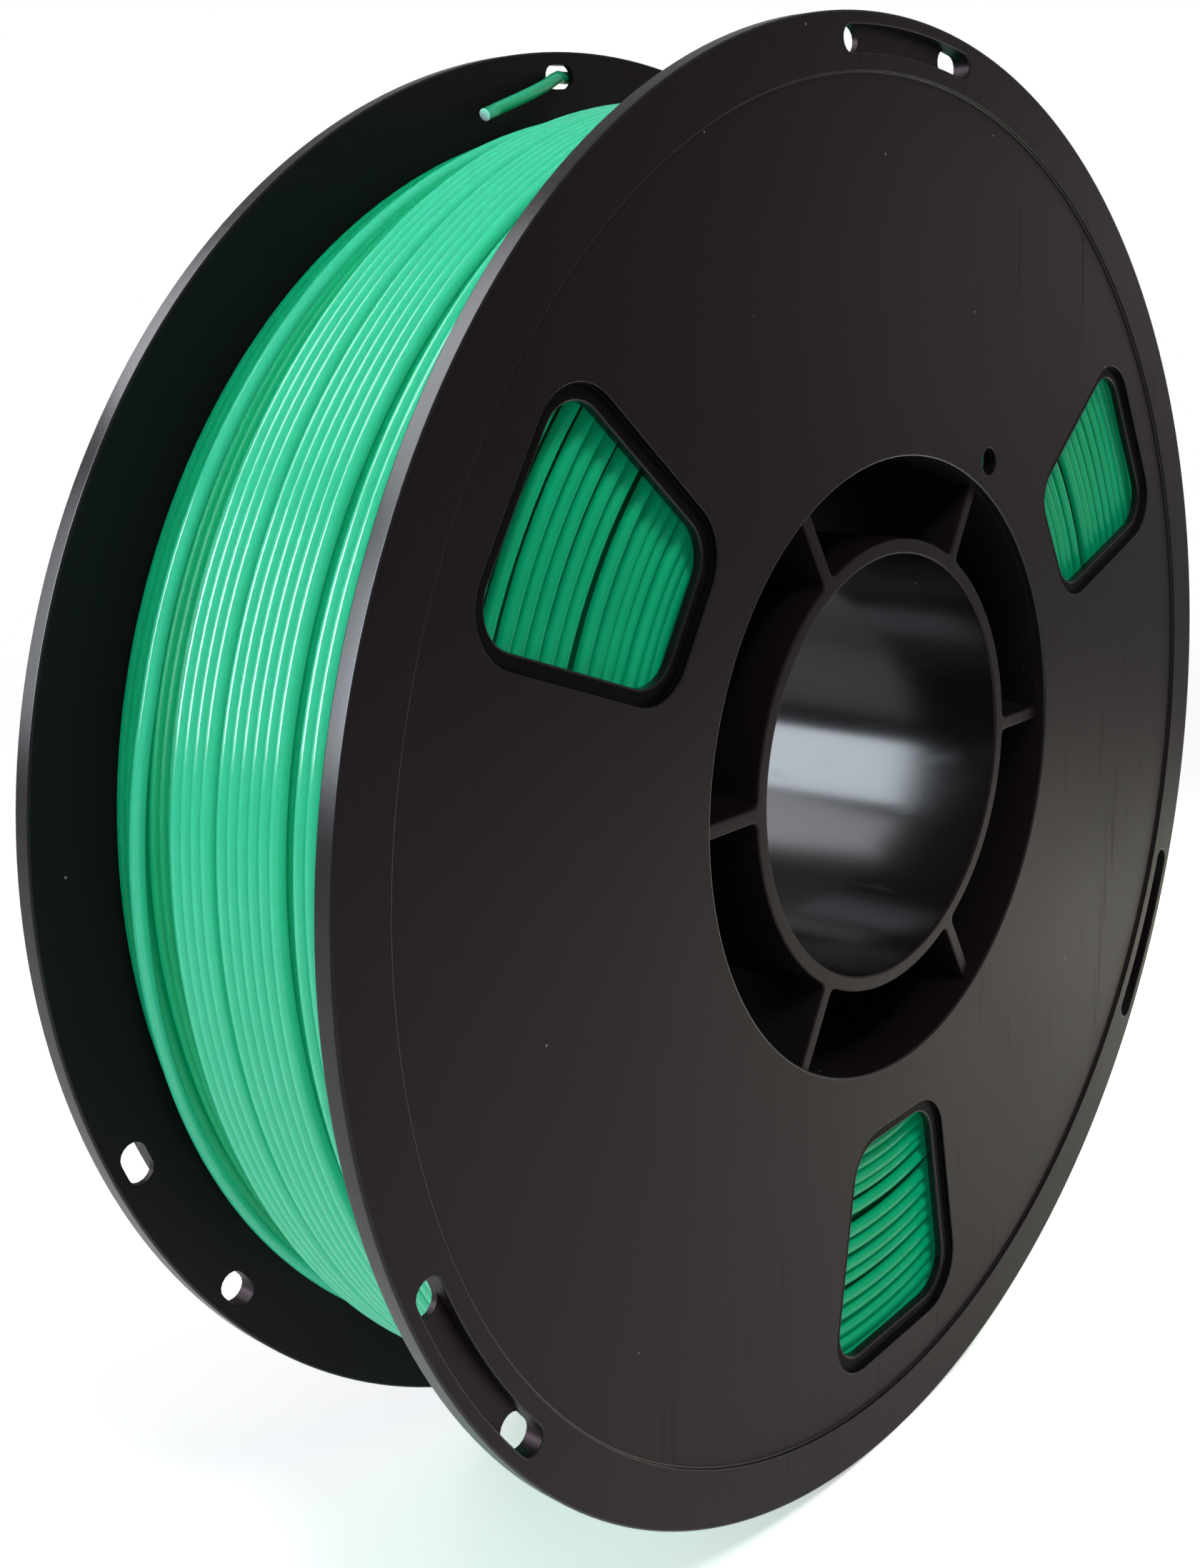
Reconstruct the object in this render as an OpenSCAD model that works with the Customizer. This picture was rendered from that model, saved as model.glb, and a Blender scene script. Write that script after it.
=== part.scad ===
// Spool of 1.75 mm filament: two moulded flanges on a ribbed hub, full of one long strand.
// Axis of the spool along Y, centre of the bore at the origin, front flange towards -Y, +Z up.

/* [Spool] */
// Outer diameter of both flanges
flange_d = 200; // [190:1:260]
// Width over the two raised rims
spool_w = 53; // [46:0.5:80]
// Diameter of the round opening in each flange
hub_open_d = 86; // [74:1:90]
// Diameter of the bore that goes over a spindle
bore_d = 59; // [40:0.5:60]

/* [Flange] */
// Thickness of a flange at its raised rim
flange_t = 2.6; // [2.4:0.1:4]
// Radial width of the raised rim
rim_w = 7.3; // [6:0.1:9]
// Height of the raised rim over the disc
rim_step = 0.5; // [0.2:0.1:0.8]
// Chamfer on the edges of the rim
edge_chamfer = 0.3; // [0.1:0.05:0.8]
// Thickness of disc left outside the end of the drum
seat_web = 1.3; // [0.8:0.1:1.4]
// Play between the drum and its seat, on the radius
seat_play = 0.1; // [0.02:0.02:0.2]

/* [Windows] */
// Number of windows in a flange
windows = 3; // [3:1:4]
// Width of a window's border at its outer side
window_w_out = 34.6; // [28:0.2:40]
// Width of a window's border at its inner side
window_w_in = 22.1; // [18:0.1:28]
// Distance from the raised rim to a window's border
window_rim_gap = 6.5; // [3:0.1:12]
// Distance from the hub opening to a window's border
window_hub_gap = 8.6; // [5:0.1:14]
// Corner radius of a window's border
window_corner = 7; // [4:0.1:8]
// Width of the sunk border round a window
window_border = 2; // [1:0.1:3]
// Depth of the sunk border round a window
window_border_d = 0.8; // [0.3:0.1:1.2]

/* [Clips] */
// Number of filament clips in a rim
clips = 3; // [1:1:4]
// Distance from the flange's edge to the middle of a clip groove
clip_inset = 3.4; // [3:0.1:4]
// Width of a clip groove
clip_w = 3.4; // [2.2:0.1:4]
// Length of a clip groove over its round ends
clip_l = 31.2; // [24:0.2:40]
// Depth of a clip groove
clip_d = 1.8; // [1:0.1:2]
// Length of the hole through each end of a clip groove
clip_hole_l = 5.8; // [4.2:0.1:8]

/* [Start hole] */
// Diameter of the hole for the inner end of the filament
start_hole_d = 4; // [2.5:0.1:5]
// Direction of the start hole, from +X towards +Z
start_hole_angle = 60; // [54:1:66]
// Gap between the drum and the start hole
start_hole_gap = 0.3; // [0.2:0.1:1.5]

/* [Hub] */
// Wall of the drum that the filament is wound on
drum_wall = 2; // [1.4:0.1:2.6]
// Wall of the bore tube
tube_wall = 2.2; // [1.4:0.1:3.5]
// Thickness of a rib between the bore tube and the drum
rib_t = 2; // [1.2:0.1:3]
// Depth of the bore tube and the ribs below the face of the disc
hub_recess = 1.5; // [1.4:0.1:8]

/* [Filament] */
// Diameter of the filament
filament_d = 1.75; // [1.75:0.05:1.8]
// Depth of the winding's outer layer below the edge of the flanges
wind_inset = 8; // [7:0.5:20]
// Gap between the winding and each flange
wind_gap = 0.5; // [0.3:0.1:3]
// Distance between neighbouring turns of the outer layer
wind_pitch = 2.2; // [2.2:0.05:3]

/* [Hidden] */

flange_r = flange_d / 2;
rim_in_r = flange_r - rim_w;
open_r = hub_open_d / 2;
drum_r = open_r + drum_wall;
bore_r = bore_d / 2;
tube_r = bore_r + tube_wall;
disc_t = flange_t - rim_step;
inner_half = spool_w / 2 - flange_t;
seat_d = disc_t - seat_web;
drum_half = inner_half + seat_d;
hub_half = spool_w / 2 - rim_step - hub_recess;
ribs = 6;

// Windows: corners of the border, from the bottom left round to the top left, on a spoke along +X
window_out_r = rim_in_r - window_rim_gap;
window_in_r = open_r + window_hub_gap;
window_corners = [
    [window_in_r, -window_w_in / 2],
    [window_out_r, -window_w_out / 2],
    [window_out_r, window_w_out / 2],
    [window_in_r, window_w_in / 2]
];
window_turn = 30;

// Clips: directions of the middles of the round ends, from the middle of the clip
clip_r = flange_r - clip_inset;
clip_half = (clip_l - clip_w) / 2 / clip_r * 180 / PI;
clip_hole_span = (clip_hole_l - clip_w) / clip_r * 180 / PI;
clip_hole_at = clip_half - clip_hole_span / 2;
clip_turn = 90;

start_hole_r = drum_r + start_hole_gap + start_hole_d / 2;

// Filament: the outer layer is a tube over a plain core of packed turns
filament_r = filament_d / 2;
wind_half = inner_half - wind_gap;
layer_r = flange_r - wind_inset - filament_r;
layer_rings = 24;
layer_sides = 6;
layer_play = 0.05;
core_r = layer_r * cos(180 / layer_rings) - filament_r - layer_play;
turns = floor((2 * wind_half - filament_d) / wind_pitch);
layer_half = turns * wind_pitch / 2;
layer_end_angle = 62;

// Route of the parked end after the last turn. It climbs to a clip, goes out through one hole, along
// the groove and back in through the other, and hangs down over the winding. Each point has its
// direction from that hole, its share of the climb from the layer to the clip's circle, and its
// share of the way out from the last turn to the groove.
end_sides = 8;
end_climb = [
    [-18, 0.03, 0],
    [-15.5, 0.1, 0],
    [-13, 0.22, 0],
    [-10.5, 0.38, 0],
    [-8, 0.56, 0],
    [-5.5, 0.75, 0],
    [-3.3, 0.9, 0.08],
    [-1.3, 0.98, 0.3],
    [0.1, 1, 0.64],
    [1.3, 1, 1]
];
end_hang = [
    [-1.3, 1, 1],
    [-0.1, 1, 0.64],
    [1.3, 0.93, 0.3],
    [3.1, 0.78, 0.07],
    [5.3, 0.65, -0.08],
    [7.5, 0.56, -0.2],
    [9.7, 0.5, -0.3],
    [11.7, 0.46, -0.38]
];
groove_steps = 5;
groove_play = 0.05;
groove_y = inner_half + flange_t - clip_d + filament_r + groove_play;
groove_start = clip_turn - clip_hole_at + end_climb[len(end_climb) - 1][0];
groove_end = clip_turn + clip_hole_at + end_hang[0][0];

cut = 1;
// Sides lie this far inside the arcs that end them, so that the two cross and don't just touch
side_inset = 0.01;
$fn = 96;

function unit(v) = v / norm(v);

// Outward normal of the edge from a to b of an outline that runs anticlockwise
function edge_normal(a, b) = unit([b[1] - a[1], a[0] - b[0]]);

// Centre of the arc of radius r in the corner at b, between the edges from a and to c
function arc_centre(a, b, c, r) =
    let (u = unit(a - b), v = unit(c - b), half = acos(u * v) / 2)
    b + unit(u + v) * r / sin(half);

// Point at a direction and a distance from the axis, and a place along it
function polar(angle, r, y) = [r * cos(angle), y, r * sin(angle)];

// Middle of ring i of the outer layer, counted from the front flange
function layer_point(i) =
    polar(layer_end_angle + (i - turns * layer_rings) * 360 / layer_rings,
          layer_r,
          -layer_half + i * wind_pitch / layer_rings);

// Step of one filament diameter along the turn, at the direction of either end of the layer
end_step = filament_d * unit([-sin(layer_end_angle), 0, cos(layer_end_angle)]);

layer_path = concat(
    [layer_point(0) - end_step],
    [for (i = [0:turns * layer_rings]) layer_point(i)],
    [layer_point(turns * layer_rings) + end_step]
);

// Point of the parked end's route, counted from the hole at a direction
function end_point(p, hole) =
    polar(hole + p[0],
          layer_r + (clip_r - layer_r) * p[1],
          layer_half + (groove_y - layer_half) * p[2]);

end_path = concat(
    [layer_path[len(layer_path) - 1]],
    [for (p = end_climb) end_point(p, clip_turn - clip_hole_at)],
    [for (i = [1:groove_steps - 1])
        polar(groove_start + (groove_end - groove_start) * i / groove_steps, clip_r, groove_y)],
    [for (p = end_hang) end_point(p, clip_turn + clip_hole_at)]
);

// Least distance between points of the path that lie about one turn apart
function least_gap(path) =
    min([for (i = [0:len(path) - layer_rings - 1])
            for (j = [i + layer_rings - 2:min(i + layer_rings + 2, len(path) - 1)])
                norm(path[i] - path[j])]) - filament_d;

echo(str("filament_layer: ", turns, " turns, least gap to itself ", least_gap(layer_path), " mm"));

// Turns what stands on the XY plane so that its +Z lies along the spool's axis, towards the front
module on_axis() {
    rotate([90, 0, 0]) children();
}

// Outline through the corners with arcs of the given radius, drawn inwards by inset
module rounded_outline(corners, radius, inset = 0) {
    n = len(corners);
    r = radius - inset;
    centres = [for (i = [0:n - 1])
        arc_centre(corners[(i + n - 1) % n], corners[i], corners[(i + 1) % n], radius)];
    for (c = centres) {
        translate(c) circle(r);
    }
    polygon([for (i = [0:n - 1]) each [
        centres[i] + (r - side_inset) * edge_normal(corners[(i + n - 1) % n], corners[i]),
        centres[i] + (r - side_inset) * edge_normal(corners[i], corners[(i + 1) % n])
    ]]);
}

// Tube of triangles round a path. The first corner of each ring points away from the axis.
module round_tube(path, radius, sides) {
    n = len(path);
    function along(i) = unit(path[min(i + 1, n - 1)] - path[max(i - 1, 0)]);
    function across(i) = unit(cross(along(i), [path[i][0], 0, path[i][2]]));
    function ring(i) =
        let (t = along(i), v = across(i), u = cross(v, t))
        [for (k = [0:sides - 1])
            path[i] + radius * (cos(360 * k / sides) * u + sin(360 * k / sides) * v)];
    points = [for (i = [0:n - 1]) each ring(i)];
    walls = [for (i = [0:n - 2]) for (k = [0:sides - 1])
        let (a = i * sides + k, b = i * sides + (k + 1) % sides)
        each [[a, b, a + sides], [b, b + sides, a + sides]]];
    first_end = [for (k = [1:sides - 2]) [0, k + 1, k]];
    last_end = [for (k = [1:sides - 2]) [0, k, k + 1] + (n - 1) * sides * [1, 1, 1]];
    polyhedron(points, concat(walls, first_end, last_end));
}

// One flange, standing on its inner face
module flange() {
    difference() {
        rotate_extrude() polygon([
            [drum_r + seat_play, 0],
            [flange_r - edge_chamfer, 0],
            [flange_r, edge_chamfer],
            [flange_r, flange_t - edge_chamfer],
            [flange_r - edge_chamfer, flange_t],
            [rim_in_r, flange_t],
            [rim_in_r, disc_t],
            [open_r, disc_t],
            [open_r, seat_d],
            [drum_r + seat_play, seat_d]
        ]);
        for (i = [0:windows - 1]) {
            rotate([0, 0, window_turn + i * 360 / windows]) window_cut();
        }
        for (i = [0:clips - 1]) {
            rotate([0, 0, clip_turn + i * 360 / clips]) clip_cut();
        }
        rotate([0, 0, start_hole_angle])
            translate([start_hole_r, 0, -cut])
                cylinder(h = flange_t + 2 * cut, d = start_hole_d);
    }
}

// Window with its sunk border, on a spoke along +X
module window_cut() {
    translate([0, 0, -cut])
        linear_extrude(flange_t + 2 * cut)
            rounded_outline(window_corners, window_corner, window_border);
    translate([0, 0, disc_t - window_border_d])
        linear_extrude(window_border_d + cut)
            rounded_outline(window_corners, window_corner);
}

// Curved groove with a long hole through each end, its middle on a spoke along +X
module clip_cut() {
    arc_slot(flange_t - clip_d, clip_d + cut, -clip_half, clip_half);
    arc_slot(-cut, flange_t + 2 * cut, -clip_half, clip_hole_span - clip_half);
    arc_slot(-cut, flange_t + 2 * cut, clip_half - clip_hole_span, clip_half);
}

// Slot with round ends along the clip's circle, from height z up, between two directions
module arc_slot(z, h, from, to) {
    translate([0, 0, z])
        linear_extrude(h) {
            intersection() {
                difference() {
                    circle(clip_r + clip_w / 2 - side_inset);
                    circle(clip_r - clip_w / 2 + side_inset);
                }
                polygon([
                    [0, 0],
                    flange_d * [cos(from), sin(from)],
                    flange_d * [cos(to), sin(to)]
                ]);
            }
            for (a = [from, to]) {
                rotate([0, 0, a]) translate([clip_r, 0]) circle(d = clip_w);
            }
        }
}

module front_flange() {
    color([0.13, 0.12, 0.13])
        on_axis() translate([0, 0, inner_half]) flange();
}

// The same moulding as the front flange, turned about the vertical
module back_flange() {
    color([0.13, 0.12, 0.13])
        rotate([0, 0, 180])
            on_axis() translate([0, 0, inner_half]) flange();
}

// Ring about the spool's axis, half of its length on each side of the middle
module ring(inner_r, outer_r, half) {
    on_axis() difference() {
        cylinder(h = 2 * half, r = outer_r, center = true);
        cylinder(h = 2 * half + 2 * cut, r = inner_r, center = true);
    }
}

// Wall that the filament is wound on; its ends sit in the flanges
module hub_drum() {
    color([0.09, 0.09, 0.1]) ring(open_r, drum_r, drum_half);
}

module bore_tube() {
    color([0.09, 0.09, 0.1]) ring(bore_r, tube_r, hub_half);
}

// Rib that stands between the bore tube and the drum, counted anticlockwise from +X
module hub_rib(i) {
    color([0.09, 0.09, 0.1])
        on_axis() rotate([0, 0, i * 360 / ribs])
            linear_extrude(2 * hub_half, center = true)
                difference() {
                    intersection() {
                        circle(open_r);
                        translate([0, -rib_t / 2]) square([drum_r, rib_t]);
                    }
                    circle(tube_r);
                }
}

// Inner layers of the winding as one plain ring on the drum
module filament_core() {
    color([0.05, 0.6, 0.38]) ring(drum_r, core_r, wind_half);
}

module filament_layer() {
    color([0.2, 0.78, 0.55]) round_tube(layer_path, filament_r, layer_sides);
}

module filament_end() {
    color([0.2, 0.78, 0.55]) round_tube(end_path, filament_r, end_sides);
}

front_flange();
back_flange();
hub_drum();
bore_tube();
hub_rib(0);  // hub_rib_1
hub_rib(1);  // hub_rib_2
hub_rib(2);  // hub_rib_3
hub_rib(3);  // hub_rib_4
hub_rib(4);  // hub_rib_5
hub_rib(5);  // hub_rib_6
filament_core();
filament_layer();
filament_end();
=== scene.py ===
"""Filament spool: two moulded flanges on a ribbed hub, wound full of translucent green filament.

The spool's axis lies along Y, the bore's centre is the origin and +Z is up. The front flange is
on the -Y side. Sizes in the classes are in millimetres and become metres where a mesh is made.
"""

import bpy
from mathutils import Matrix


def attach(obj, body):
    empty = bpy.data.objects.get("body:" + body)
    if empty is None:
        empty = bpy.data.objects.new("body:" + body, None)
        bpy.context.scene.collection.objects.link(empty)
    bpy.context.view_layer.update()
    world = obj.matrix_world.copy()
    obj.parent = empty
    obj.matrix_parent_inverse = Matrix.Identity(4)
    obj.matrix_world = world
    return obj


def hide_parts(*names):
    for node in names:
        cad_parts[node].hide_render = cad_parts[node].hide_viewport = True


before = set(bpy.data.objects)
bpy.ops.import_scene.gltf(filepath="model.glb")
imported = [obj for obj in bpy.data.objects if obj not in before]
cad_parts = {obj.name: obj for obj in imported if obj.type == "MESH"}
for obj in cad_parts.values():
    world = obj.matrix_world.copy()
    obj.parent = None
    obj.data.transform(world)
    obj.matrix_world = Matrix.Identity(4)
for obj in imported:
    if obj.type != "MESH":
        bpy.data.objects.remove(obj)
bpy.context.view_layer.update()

import logging
import math
import random
from dataclasses import dataclass, field
from enum import Enum
from functools import cache
from typing import Callable, Protocol, Sequence

import bmesh
import bpy
from mathutils import Matrix, Vector

log = logging.getLogger("spool")

MM = 0.001
TAU = 2 * math.pi

Point2 = tuple[float, float]
Point3 = tuple[float, float, float]
Colour = Point3
Place = Callable[[float, float, float], Point3]
Mesh = bmesh.types.BMesh
Vert = bmesh.types.BMVert
Object = bpy.types.Object
Material = bpy.types.Material
Tree = bpy.types.NodeTree
Node = bpy.types.Node
Socket = bpy.types.NodeSocket


class Side(Enum):
    """The two ends of the spool, by the sign of Y."""

    FRONT = -1
    BACK = 1


class Flat(Enum):
    """The flat faces of a flange that its features cut into."""

    RIM_TOP = "rim_top"
    DISC_TOP = "disc_top"
    INNER = "inner"


class Reach(Enum):
    """What a light adds: highlights, even light, or both."""

    SHINE = "shine"
    FILL = "fill"
    BOTH = "both"


class Outline(Protocol):
    """A closed outline, with as many points however far it is grown."""

    def points(self, offset: float) -> list[Point2]:
        """The outline, grown by offset."""


def turned(points: Sequence[Point2], degrees: float) -> list[Point2]:
    """Turn flat points about the origin, anticlockwise."""
    c, s = math.cos(math.radians(degrees)), math.sin(math.radians(degrees))
    return [(x * c - y * s, x * s + y * c) for x, y in points]


def arc(centre: Point2, radius: float, start: float, end: float, steps: int) -> list[Point2]:
    """Points along an arc, both ends included, between two directions in radians."""
    angles = [start + (end - start) * i / steps for i in range(steps + 1)]
    return [(centre[0] + radius * math.cos(a), centre[1] + radius * math.sin(a)) for a in angles]


def round_over(radius: float, edge: Point2, start: float, steps: int = 4) -> list[Point2]:
    """A quarter turn from a direction in degrees about edge, in a section of (offset, height)."""
    return arc(edge, radius, math.radians(start), math.radians(start + 90), steps)


@dataclass(frozen=True)
class Circle:
    """A round outline about the origin or another centre."""

    radius: float
    steps: int = 240
    centre: Point2 = (0.0, 0.0)

    def points(self, offset: float) -> list[Point2]:
        """The outline, grown by offset."""
        return arc(self.centre, self.radius + offset, 0, TAU, self.steps)[:-1]


@dataclass(frozen=True)
class RoundedOutline:
    """A convex outline with the same arc in each corner, turned about the origin."""

    corners: tuple[Point2, ...]
    corner_radius: float
    turn: float = 0.0
    steps: int = 9

    def points(self, offset: float) -> list[Point2]:
        """The outline, grown by offset.

        Args:
            offset: How far it lies outside its corners' lines.

        Returns:
            Points anticlockwise.
        """
        out: list[Point2] = []
        n = len(self.corners)
        for i, b in enumerate(self.corners):
            a, c = self.corners[i - 1], self.corners[(i + 1) % n]
            u = (Vector(a) - Vector(b)).normalized()
            v = (Vector(c) - Vector(b)).normalized()
            half = math.acos(max(-1.0, min(1.0, u.dot(v)))) / 2
            centre = Vector(b) + (u + v).normalized() * self.corner_radius / math.sin(half)
            start = math.atan2(b[1] - a[1], b[0] - a[0]) - math.pi / 2
            end = start + math.pi - 2 * half
            out += arc(tuple(centre), self.corner_radius + offset, start, end, self.steps)
        return turned(out, self.turn)


@dataclass(frozen=True)
class ArcSlot:
    """A slot with round ends that follows a circle about the origin."""

    radius: float
    half_width: float
    start: float
    end: float
    side_steps: int = 24
    cap_steps: int = 8

    def points(self, offset: float) -> list[Point2]:
        """The outline, grown by offset.

        Args:
            offset: How much wider the slot gets on each side.

        Returns:
            Points anticlockwise, from the start of the outer side.
        """
        w = self.half_width + offset
        a, b = math.radians(self.start), math.radians(self.end)
        out = arc((0, 0), self.radius + w, a, b, self.side_steps)[:-1]
        out += self.cap(b, b, w)[:-1]
        out += arc((0, 0), self.radius - w, b, a, self.side_steps)[:-1]
        return out + self.cap(a, a + math.pi, w)[:-1]

    def cap(self, at: float, start: float, radius: float) -> list[Point2]:
        """Half a turn about the slot's middle line at one direction, in radians."""
        centre = (self.radius * math.cos(at), self.radius * math.sin(at))
        return arc(centre, radius, start, start + math.pi, self.cap_steps)


@dataclass
class Moulding:
    """Collects loops, strips and flats into one closed mesh.

    place turns a point of the piece's own (x, y, height) into the spool's frame. edge_slot is the
    material slot of the faces that round or bevel an edge, and bounds has the loops of each flat.
    """

    place: Place
    edge_slot: int = 0
    crease: float = math.radians(50.0)
    level: float = 1e-9
    mesh: Mesh = field(default_factory=bmesh.new)
    bounds: dict[Flat, list[list[Vert]]] = field(default_factory=lambda: {f: [] for f in Flat})

    def loop(self, points: Sequence[Point2], height: float) -> list[Vert]:
        """Vertices of a flat loop at one height."""
        return [self.mesh.verts.new(self.place(x, y, height)) for x, y in points]

    def strip(self, a: Sequence[Vert], b: Sequence[Vert], slot: int = 0) -> None:
        """Join two loops of as many points with a closed band of quads.

        Args:
            a: One loop.
            b: The other loop.
            slot: Material slot of the band.
        """
        n = len(a)
        for i in range(n):
            face = self.mesh.faces.new((a[i], a[(i + 1) % n], b[(i + 1) % n], b[i]))
            face.material_index = slot

    def wall(self, outline: Outline, section: Sequence[Point2],
             slots: Sequence[int] = ()) -> list[list[Vert]]:
        """Sweep a section round an outline.

        Args:
            outline: The outline at offset 0.
            section: (offset, height) pairs.
            slots: Material slot of each band, or none for the edge slot on what slants.

        Returns:
            The loops, one for each point of the section.
        """
        loops = [self.loop(outline.points(offset), height) for offset, height in section]
        for i, (p, q) in enumerate(zip(section, section[1:])):
            slanted = min(abs(p[0] - q[0]), abs(p[1] - q[1])) > self.level
            slot = slots[i] if slots else self.edge_slot if slanted else 0
            self.strip(loops[i], loops[i + 1], slot)
        return loops

    def flat(self, loops: Sequence[Sequence[Vert]]) -> None:
        """Fill the flat area between an outer loop and the loops inside it.

        Args:
            loops: The loops, in any order.
        """
        edges = []
        for loop in loops:
            for i, v in enumerate(loop):
                w = loop[(i + 1) % len(loop)]
                edges.append(self.mesh.edges.get((v, w)) or self.mesh.edges.new((v, w)))
        bmesh.ops.triangle_fill(self.mesh, use_beauty=True, use_dissolve=False, edges=edges)

    def finish(self, name: str, material: Material) -> Object:
        """Close the mesh and make the object.

        Args:
            name: The piece's name.
            material: Its material.

        Returns:
            The new object, shaded by the size of its flats.
        """
        bmesh.ops.recalc_face_normals(self.mesh, faces=self.mesh.faces)
        for edge in self.mesh.edges:
            edge.smooth = edge.calc_face_angle(0.0) < self.crease
        obj = new_object(name, self.mesh, material)
        weigh = obj.modifiers.new("shade_by_flats", "WEIGHTED_NORMAL")
        weigh.keep_sharp = True
        return obj


def linked(name: str, data: bpy.types.ID) -> Object:
    """A new object of the scene, for a mesh, a camera or a light."""
    bpy.context.scene.collection.objects.link(obj := bpy.data.objects.new(name, data))
    return obj


def new_object(name: str, mesh: Mesh, material: Material, body: str | None = "root") -> Object:
    """Turn a bmesh into a smooth-shaded object.

    Args:
        name: The object's name.
        mesh: The bmesh, freed here.
        material: Its material.
        body: The body that a piece rides on, or None for the floor.

    Returns:
        The new object.
    """
    data = bpy.data.meshes.new(name)
    mesh.to_mesh(data)
    mesh.free()
    data.polygons.foreach_set("use_smooth", [True] * len(data.polygons))
    data.materials.append(material)
    obj = linked(name, data)
    if body:
        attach(obj, body)
    return obj


def sweep(mesh: Mesh, path: Sequence[Vector], radius: float, sides: int,
          closed: bool = False) -> None:
    """Add a round tube that follows a path, in metres, with its first corner away from the axis.

    Args:
        mesh: The bmesh that the tube goes into.
        path: Points in order.
        radius: Radius of the tube.
        sides: Number of corners of its section.
        closed: True for a ring.
    """
    rings, n = [], len(path)
    corners = [(math.cos(TAU * k / sides), math.sin(TAU * k / sides)) for k in range(sides)]
    for i, p in enumerate(path):
        before = path[i - 1] if closed or i else p
        after = path[(i + 1) % n] if closed or i < n - 1 else p
        along = (after - before).normalized()
        across = along.cross(Vector((p.x, 0, p.z))).normalized()
        out = across.cross(along)
        rings.append([mesh.verts.new(p + radius * (c * out + s * across)) for c, s in corners])
    pairs = list(zip(rings, rings[1:])) + ([(rings[-1], rings[0])] if closed else [])
    for a, b in pairs:
        for k in range(sides):
            mesh.faces.new((a[k], a[(k + 1) % sides], b[(k + 1) % sides], b[k]))
    if not closed:
        mesh.faces.new(rings[0][::-1])
        mesh.faces.new(rings[-1])


def polar(angle: float, radius: float, y: float) -> Vector:
    """A point in metres, by its direction in degrees, distance from the axis and place on it."""
    a = math.radians(angle)
    return Vector((radius * math.cos(a), y, radius * math.sin(a))) * MM


@dataclass
class Nodes:
    """Short names for building a node tree."""

    tree: Tree

    def fill(self, node: Node, inputs: dict[str | int, object]) -> None:
        """Set inputs of a node.

        Args:
            node: The node.
            inputs: Values, or sockets to link from, by the input's name or number.
        """
        for key, value in inputs.items():
            if isinstance(value, Socket):
                self.tree.links.new(value, node.inputs[key])
            else:
                node.inputs[key].default_value = value

    def add(self, kind: str, inputs: dict[str | int, object] | None = None,
            **settings: object) -> Node:
        """Add a node.

        Args:
            kind: Blender's type name.
            inputs: Inputs, as for fill.
            settings: Attributes of the node.

        Returns:
            The new node.
        """
        node = self.tree.nodes.new(kind)
        for key, value in settings.items():
            setattr(node, key, value)
        self.fill(node, inputs or {})
        return node

    def math(self, operation: str, a: object, b: object = 0.0, c: object = 0.0) -> Socket:
        """The result of a Math node."""
        return self.add("ShaderNodeMath", {0: a, 1: b, 2: c}, operation=operation).outputs[0]

    def ramp(self, value: Socket, low: float, high: float,
             to_low: float = 0.0, to_high: float = 1.0) -> Socket:
        """The value mapped from one range to another, and held inside it."""
        values = {0: value, 1: low, 2: high, 3: to_low, 4: to_high}
        return self.add("ShaderNodeMapRange", values).outputs[0]

    def mix(self, factor: object, a: object, b: object) -> Socket:
        """A blend of two colours."""
        return self.add("ShaderNodeMix", {0: factor, 6: a, 7: b}, data_type="RGBA").outputs[2]

    def grey(self, value: Socket) -> Socket:
        """A grey as bright as the value."""
        return self.add("ShaderNodeCombineColor", {0: value, 1: value, 2: value}).outputs[0]

    def noise(self, vector: Socket, scale: object, detail: float, roughness: float = 0.5) -> Socket:
        """A noise value from 0 to 1."""
        values = {"Vector": vector, "Scale": scale, "Detail": detail, "Roughness": roughness}
        return self.add("ShaderNodeTexNoise", values).outputs["Fac"]

    def bump(self, height: Socket, strength: float, distance: float) -> Socket:
        """A normal bent by a height, with the bump's distance in metres."""
        values = {"Height": height, "Strength": strength, "Distance": distance}
        return self.add("ShaderNodeBump", values).outputs[0]


def group_tree(name: str, inputs: dict[str, float],
               outputs: Sequence[str]) -> tuple[Nodes, bpy.types.bpy_prop_collection]:
    """Start a shader node group.

    Args:
        name: The group's name.
        inputs: Its number inputs and their defaults.
        outputs: Its number outputs.

    Returns:
        A builder for the group, and the sockets that bring in its inputs.
    """
    tree = bpy.data.node_groups.new(name, "ShaderNodeTree")
    for key, value in inputs.items():
        socket = tree.interface.new_socket(key, in_out="INPUT", socket_type="NodeSocketFloat")
        socket.default_value = value
    for key in outputs:
        tree.interface.new_socket(key, in_out="OUTPUT", socket_type="NodeSocketFloat")
    n = Nodes(tree)
    return n, n.add("NodeGroupInput").outputs


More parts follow.
